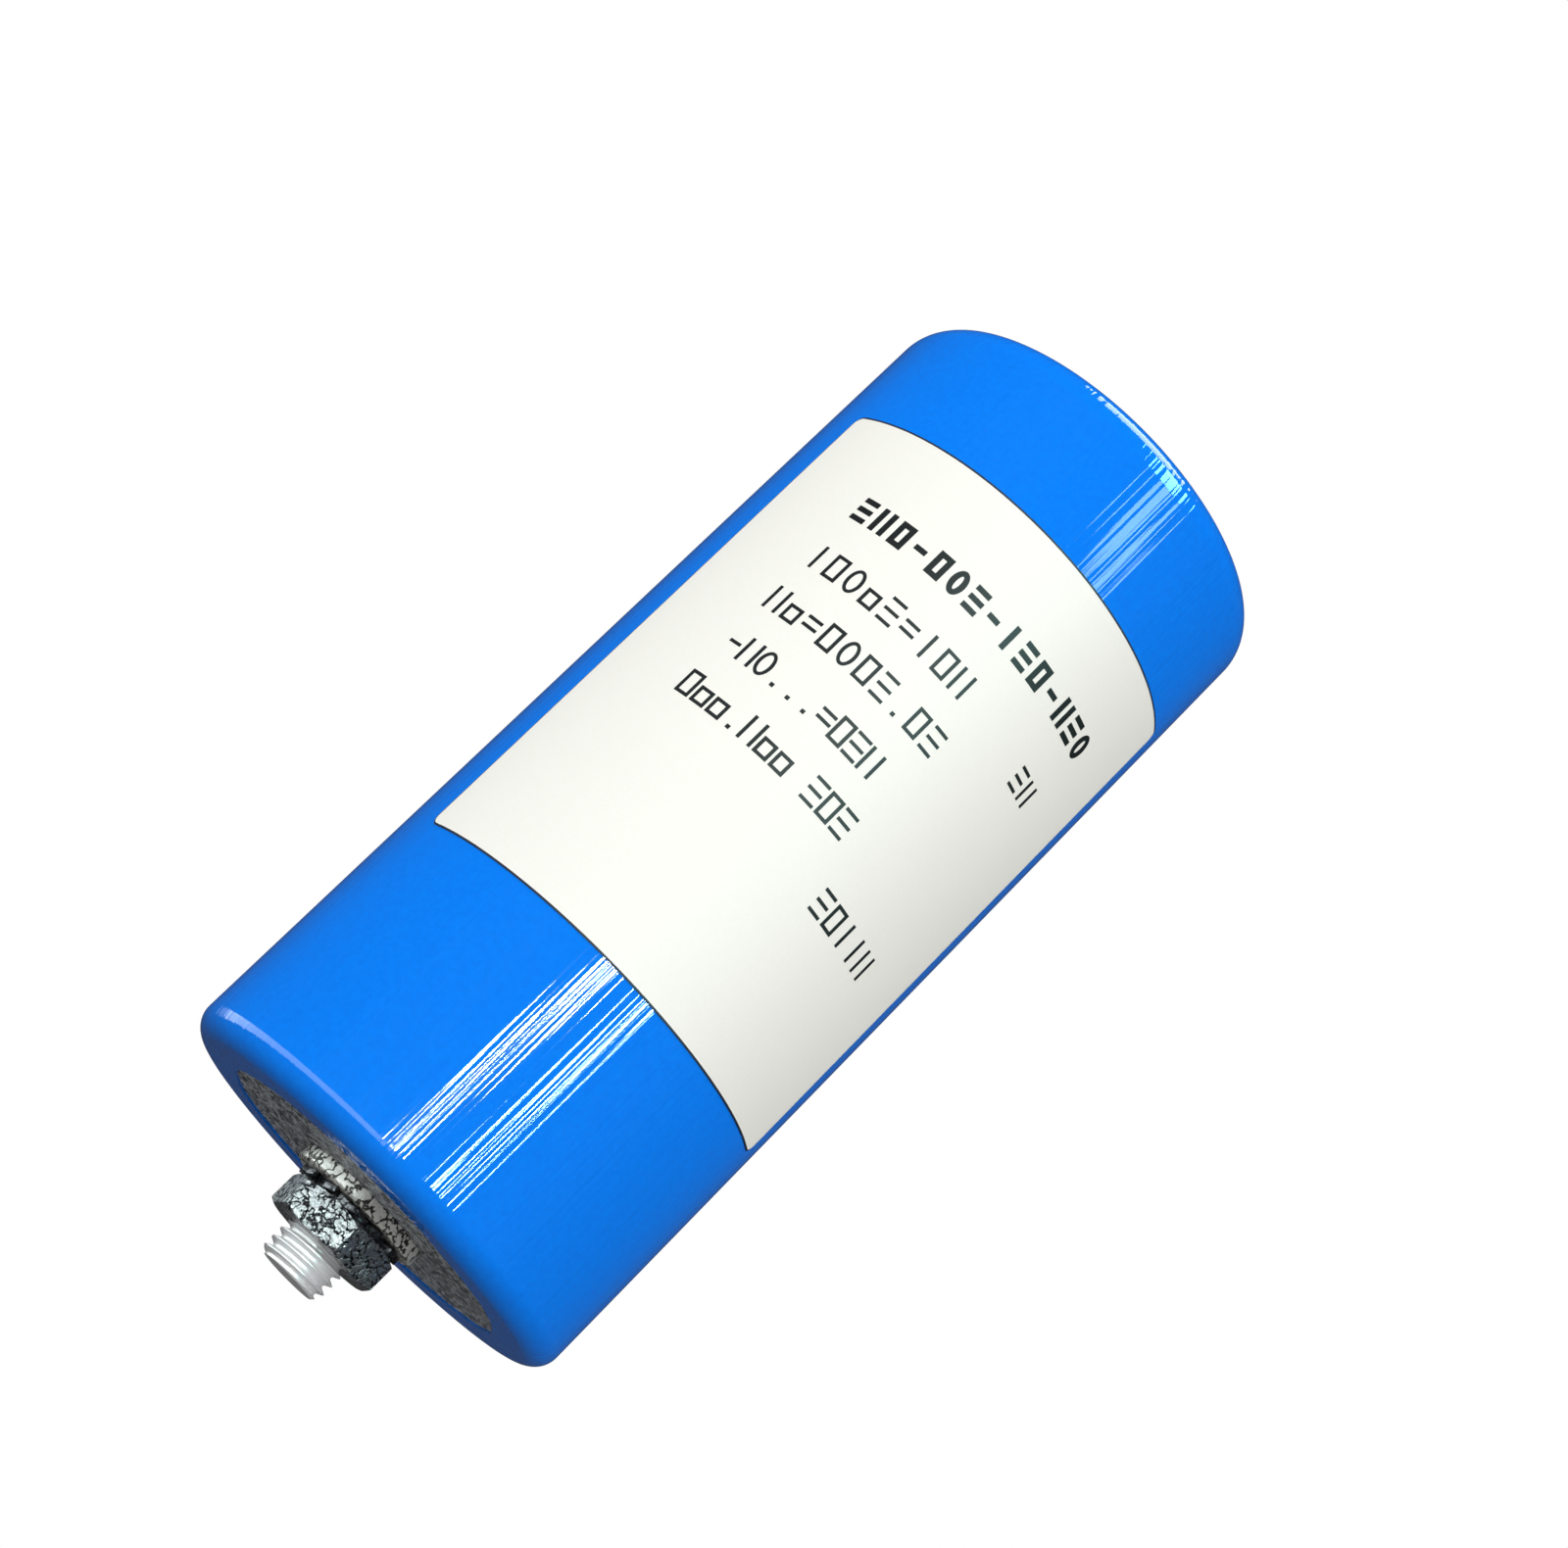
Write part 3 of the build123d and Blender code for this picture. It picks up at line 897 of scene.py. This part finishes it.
def make_lid(finish):
    """The moulded lid: a ledge held by the rolled rim, a deck, two bosses and a rib between them."""
    ledge = can_radius - can_wall - lid_clearance
    deck = mouth_radius - lid_clearance
    rim_width = 1.2
    deck_top = case_top - deck_depth
    recess = deck_top - deck_recess
    sunk_in_deck = deck_top - 3
    lid = turned(
        "moulded_lid",
        [
            (0, lid_low.z),
            (ledge, lid_low.z),
            (ledge, lid_ledge_height),
            (deck, lid_ledge_height),
            (deck, deck_top),
            (deck - rim_width, deck_top),
            (deck - rim_width - 0.4, recess),
            (0, recess),
        ],
    )
    for side in (-1, 1):
        boss = turned(
            "boss",
            [
                (0, sunk_in_deck),
                (boss_radius + 0.5, sunk_in_deck),
                (boss_radius + 0.2, recess),
                (boss_radius - 0.25, boss_top - 0.4),
                (boss_radius - 0.65, boss_top),
                (0, boss_top),
            ],
            steps=96,
        )
        cut_with(lid, moved(boss, x=side * post_offset), "UNION")
    rib_middle = (0, 0, (sunk_in_deck + lid_high.z) / 2 * MM)
    bpy.ops.object.select_all(action="DESELECT")
    bpy.ops.mesh.primitive_cube_add(size=MM, location=rib_middle)
    rib = bpy.context.object
    rib.scale = (lid_rib_thickness, lid_rib_length, lid_high.z - sunk_in_deck)
    bpy.ops.object.transform_apply(location=True, rotation=True, scale=True)
    start_editing(rib)
    bpy.ops.mesh.bevel(offset=lid_rib_rounding * MM, segments=3, affect="EDGES")
    stop_editing()
    cut_with(lid, rib, "UNION")
    for side in (-1, 1):
        hole = turned(
            "post_hole",
            [
                (0, lid_low.z - 1),
                (post_shank_radius, lid_low.z - 1),
                (post_shank_radius, boss_top + 1),
                (0, boss_top + 1),
            ],
            steps=96,
        )
        cut_with(lid, moved(hole, x=side * post_offset), "DIFFERENCE")
    finish_piece(lid, finish, "lid_plastic", "terminal_plate")


def make_post(name, node, centre, finish):
    """One terminal: a foot under the lid, a shank, and a round head with a threaded blind hole."""
    edge = 0.5
    under_edge = 0.2
    first_groove = 1.2
    foot_top = post_low.z + post_foot_thickness
    shank = post_shank_radius - 0.02
    groove_depth = 0.6 * post_thread_pitch
    bore = post_thread_radius - groove_depth
    bottom = post_high.z - post_thread_depth
    thread = []
    for number in range(int(post_thread_depth / post_thread_pitch) - 1):
        height = post_high.z - first_groove - number * post_thread_pitch
        thread.append((post_thread_radius, height))
        thread.append((bore, height - post_thread_pitch / 2))
    post = turned(
        name,
        [
            (0, post_low.z),
            (post_foot_radius, post_low.z),
            (post_foot_radius, foot_top),
            (shank, foot_top),
            (shank, boss_top),
            (post_head_radius - under_edge, boss_top),
            (post_head_radius, boss_top + under_edge),
            (post_head_radius, post_high.z - edge),
            (post_head_radius - edge, post_high.z),
            (post_thread_radius + 0.6, post_high.z),
            *thread,
            (bore, bottom + 0.8),
            (0, bottom),
        ],
        steps=128,
    )
    moved(post, x=centre)
    finish_piece(post, finish, "terminal_brass", node)


def paint_nodes(finish, *nodes):
    """Give nodes of the frame that keep their own shape a finish."""
    for node in nodes:
        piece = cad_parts[node]
        piece.data.materials.clear()
        piece.data.materials.append(finish)


# ---- Studio ----------------------------------------------------------------------------------
def white_for_viewer(tree, lit_shader):
    """Show white to the camera and in gloss, and keep the lit surface for all other light."""
    nodes, links = tree.nodes, tree.links
    path = nodes.new("ShaderNodeLightPath")
    seen = nodes.new("ShaderNodeMath")
    seen.operation = "MAXIMUM"
    links.new(path.outputs["Is Camera Ray"], seen.inputs[0])
    links.new(path.outputs["Is Glossy Ray"], seen.inputs[1])
    seen_or_through = nodes.new("ShaderNodeMath")
    seen_or_through.operation = "MAXIMUM"
    links.new(seen.outputs[0], seen_or_through.inputs[0])
    links.new(path.outputs["Is Transmission Ray"], seen_or_through.inputs[1])
    white = nodes.new("ShaderNodeEmission")
    mix = nodes.new("ShaderNodeMixShader")
    links.new(seen_or_through.outputs[0], mix.inputs[0])
    links.new(lit_shader.outputs[0], mix.inputs[1])
    links.new(white.outputs[0], mix.inputs[2])
    return mix


def make_floor():
    bpy.ops.object.select_all(action="DESELECT")
    bpy.ops.mesh.primitive_plane_add(size=8, location=(0, 0, -0.6))
    floor = bpy.context.object
    floor.name = "studio_floor"
    material = bpy.data.materials.new("pale_floor")
    material.use_nodes = True
    tree = material.node_tree
    paint = tree.nodes["Principled BSDF"]
    paint.inputs["Base Color"].default_value = (0.35, 0.35, 0.35, 1)
    paint.inputs["Roughness"].default_value = 0.9
    mix = white_for_viewer(tree, paint)
    tree.links.new(mix.outputs[0], tree.nodes["Material Output"].inputs["Surface"])
    floor.data.materials.append(material)


def make_world():
    world = bpy.data.worlds.new("studio")
    bpy.context.scene.world = world
    world.use_nodes = True
    tree = world.node_tree
    tree.nodes["Background"].inputs["Color"].default_value = (1, 1, 1, 1)
    tree.nodes["Background"].inputs["Strength"].default_value = 0.55
    mix = white_for_viewer(tree, tree.nodes["Background"])
    tree.links.new(mix.outputs[0], tree.nodes["World Output"].inputs["Surface"])


def make_lamp(name, place, aim, width, height, power, long_way=(0, 0, 1)):
    """An area lamp, sizes in metres, whose height runs along long_way."""
    data = bpy.data.lights.new(name, "AREA")
    data.shape = "RECTANGLE"
    data.size = width
    data.size_y = height
    data.energy = power
    lamp = bpy.data.objects.new(name, data)
    bpy.context.scene.collection.objects.link(lamp)
    back = (Vector(place) - Vector(aim)).normalized()
    side = Vector(long_way).cross(back).normalized()
    up = back.cross(side)
    turn = Matrix((side, up, back)).transposed().to_4x4()
    lamp.matrix_world = Matrix.Translation(place) @ turn
    return lamp


def mirror_spot(turn, height, tilt):
    """Where a lamp stands to shine in the sleeve's gloss at a turn from -Y and a height.

    A tilt in degrees, other than 0, picks a point up on the rolled rim in place of a height.
    """
    turn, tilt = math.radians(turn), math.radians(tilt)
    level = Vector((math.sin(turn), -math.cos(turn), 0))
    outward = Vector((level.x * math.cos(tilt), level.y * math.cos(tilt), math.sin(tilt)))
    point = outward * case_radius
    point.z = height
    if tilt:
        point = level * rim_edge_middle + Vector((0, 0, shoulder)) + outward * rim_edge_radius
    point *= MM
    sight = (point - Vector(camera_place)).normalized()
    return point + sight.reflect(outward) * lamp_reach


def make_strip(name, start, end, width, radiance, tint):
    """A strip lamp between two spots that only gloss sees, turned to the front of the case."""
    along = end - start
    middle = (start + end) / 2
    back = middle - front_of_case
    back -= along * (back.dot(along) / along.length_squared)
    power = radiance * math.pi * width * along.length
    strip = make_lamp(name, middle, middle - back, width, along.length, power, along)
    strip.data.color = tint
    strip.visible_diffuse = False


def make_dark_tent():
    """Dark cloth all round the studio that only gloss sees, so the sleeve keeps its colour."""
    bpy.ops.object.select_all(action="DESELECT")
    bpy.ops.mesh.primitive_cylinder_add(vertices=48, radius=1.8, depth=2.3, location=(0, 0, 0.6))
    tent = bpy.context.object
    tent.name = "dark_tent"
    material = bpy.data.materials.new("dark_cloth")
    material.use_nodes = True
    paint = material.node_tree.nodes["Principled BSDF"]
    paint.inputs["Base Color"].default_value = (0.07, 0.07, 0.075, 1)
    paint.inputs["Roughness"].default_value = 1.0
    tent.data.materials.append(material)
    show_to_gloss_only(tent)


def make_low_reflector():
    """A white band, low on the left, for the nut, the washers and the edge of the base."""
    first, last = math.radians(-132), math.radians(-8)
    low, high = -0.10, 0.070
    bpy.ops.object.select_all(action="DESELECT")
    bpy.ops.mesh.primitive_cylinder_add(
        vertices=72,
        radius=0.60,
        depth=high - low,
        location=(0, 0, (low + high) / 2),
        end_fill_type="NOTHING",
    )
    band = bpy.context.object
    band.name = "low_reflector"
    start_editing(band)
    bpy.ops.mesh.select_all(action="DESELECT")
    stop_editing()
    for face in band.data.polygons:
        turn = math.atan2(face.center.x, -face.center.y)
        face.select = not first < turn < last
    bpy.ops.object.mode_set(mode="EDIT")
    bpy.ops.mesh.select_mode(type="FACE")
    bpy.ops.mesh.delete(type="FACE")
    stop_editing()
    material = bpy.data.materials.new("lit_card")
    material.use_nodes = True
    paint = material.node_tree.nodes["Principled BSDF"]
    paint.inputs["Base Color"].default_value = (0, 0, 0, 1)
    paint.inputs["Emission Color"].default_value = (*cool_white, 1)
    paint.inputs["Emission Strength"].default_value = 3
    band.data.materials.append(material)
    show_to_gloss_only(band)


def show_to_gloss_only(piece):
    piece.visible_camera = False
    piece.visible_shadow = False
    piece.visible_diffuse = False
    piece.visible_transmission = False


def make_camera(place, aim, roll, lens):
    """A camera turned about its own line of sight by roll degrees."""
    data = bpy.data.cameras.new("camera")
    data.lens = lens
    data.sensor_width = 36
    data.clip_start = 0.01
    data.clip_end = 50
    camera = bpy.data.objects.new("camera", data)
    bpy.context.scene.collection.objects.link(camera)
    level = (Vector(aim) - Vector(place)).to_track_quat("-Z", "Y").to_matrix()
    turn = level @ Matrix.Rotation(math.radians(roll), 3, "Z")
    camera.matrix_world = Matrix.Translation(place) @ turn.to_4x4()
    bpy.context.scene.camera = camera


make_sleeve(shrink_sleeve())
make_can(drawn_aluminium(), turned_stud_metal())
warm_seam, warm_spangle = (0.05, 0.045, 0.04, 1), (0.97, 0.95, 0.88, 1)
grey_seam, grey_spangle = (0.03, 0.03, 0.035, 1), (0.72, 0.73, 0.74, 1)
dull_spangle = (0.2, 0.2, 0.21, 1)
make_flat_washer(plated_steel("washer_plating", 0.4, warm_seam, warm_spangle, 0.1, seam=0.07))
make_toothed_washer(plated_steel("spring_steel", 1.0, grey_seam, dull_spangle, 0.1))
make_nut(plated_steel("nut_plating", 1.0, grey_seam, grey_spangle, 0.45))
make_label(label_paper())
make_print(printing_ink())
make_lid(moulded_black())
tinned = tinned_brass()
make_post("right_post", "positive_terminal", post_offset, tinned)
make_post("left_post", "negative_terminal", -post_offset, tinned)

paint_nodes(gasket_rubber(), "lid_gasket")
paint_nodes(pressboard(), "base_insulator", "wall_insulator")
paint_nodes(rolled_film(), "lower_winding", "upper_winding")
paint_nodes(core_tube_plastic(), "lower_core", "upper_core")
paint_nodes(
    sprayed_zinc(), "lower_bottom_spray", "lower_top_spray", "upper_bottom_spray", "upper_top_spray"
)
paint_nodes(rolled_copper(), "middle_plate", "positive_strip", "negative_strip")
paint_nodes(potting_resin(), "resin")

make_floor()
make_world()

# Places in the studio are in metres.
camera_place = (0, -0.4974, -0.0552)
camera_aim = (-0.0015, 0, 0.0964)
camera_roll = 45.5
camera_lens = 73.5
middle_of_case = (0, 0, 0.08)
front_of_case = Vector((0, -case_radius, 80)) * MM
cool_white = (0.88, 1.0, 1.0)
faint_cyan = (0.84, 1.0, 0.96)
pale_cyan = (0.6, 1.0, 0.95)
sky_cyan = (0.4, 1.0, 0.95)
make_dark_tent()
make_low_reflector()
for name, place, size, power in (
    ("key", (-0.75, -0.95, 0.45), 0.9, 11),
    ("fill", (0.9, -0.6, 0.3), 0.8, 4.8),
):
    lamp = make_lamp(name, place, middle_of_case, size, size, power)
    lamp.visible_glossy = False

# Each strip: its two ends, as turn, height and tilt of the spot that mirrors it, its width, its
# radiance and its tint.
lamp_reach = 0.75
for name, first_end, second_end, width, radiance, tint in (
    ("white_strip", (-5.1, -6, 0), (4.5, 70, 0), 0.022, 140, faint_cyan),
    ("second_strip", (9.2, -6, 0), (14.8, 70, 0), 0.028, 65, pale_cyan),
    ("far_strip", (15, 140, 0), (16, 168, 0), 0.18, 9, pale_cyan),
    ("rim_strip", (13, 0, 2), (13, 0, 24), 0.16, 20, sky_cyan),
):
    ends = [mirror_spot(*spot) for spot in (first_end, second_end)]
    make_strip(name, *ends, width, radiance, tint)
make_strip("top_light", Vector((0, -0.25, 1.2)), Vector((0, 0.25, 1.2)), 0.5, 7, cool_white)
make_camera(camera_place, camera_aim, camera_roll, camera_lens)
bpy.context.scene.view_settings.view_transform = "Standard"
